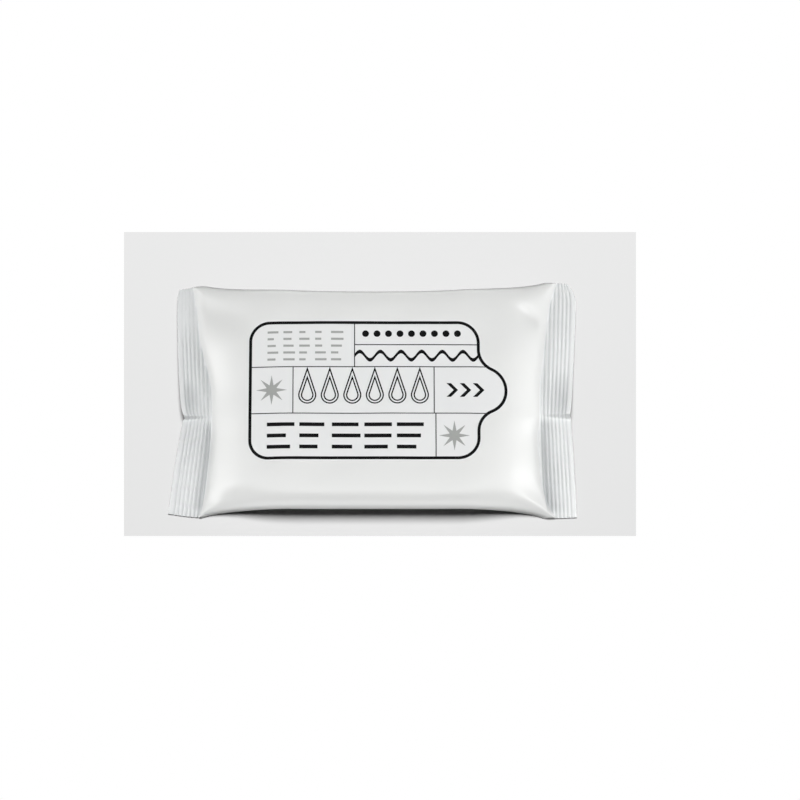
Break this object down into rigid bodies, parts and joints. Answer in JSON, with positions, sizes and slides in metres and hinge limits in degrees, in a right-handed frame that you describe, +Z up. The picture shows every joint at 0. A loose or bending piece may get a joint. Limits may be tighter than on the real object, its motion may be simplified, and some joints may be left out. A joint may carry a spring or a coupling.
{
  "type": "pocket wet wipes pack",
  "caption": "Sealed flow-wrap pillow pack of wet wipes with crimped end seals and a resealable label with a finger tab.",
  "frame": {"origin": "middle of the pack's footprint, on the surface that it lies on", "axes": "+X along the pack, towards the end that the label's finger tab points to; +Y across the pack; +Z up, out of the face with the label"},
  "size_m": [0.1496, 0.09, 0.0149],
  "materials": {
    "white_film": "white satin laminated film",
    "label_film": "white satin label film",
    "black_ink": "black print under satin varnish",
    "grey_ink": "grey print under satin varnish"
  },
  "bodies": {
    "root": {"pouch": "white_film", "reseal_label": "label_film", "label_black_print": "black_ink", "grey_flower_left": "grey_ink", "grey_flower_right": "grey_ink"}
  },
  "joints": []
}
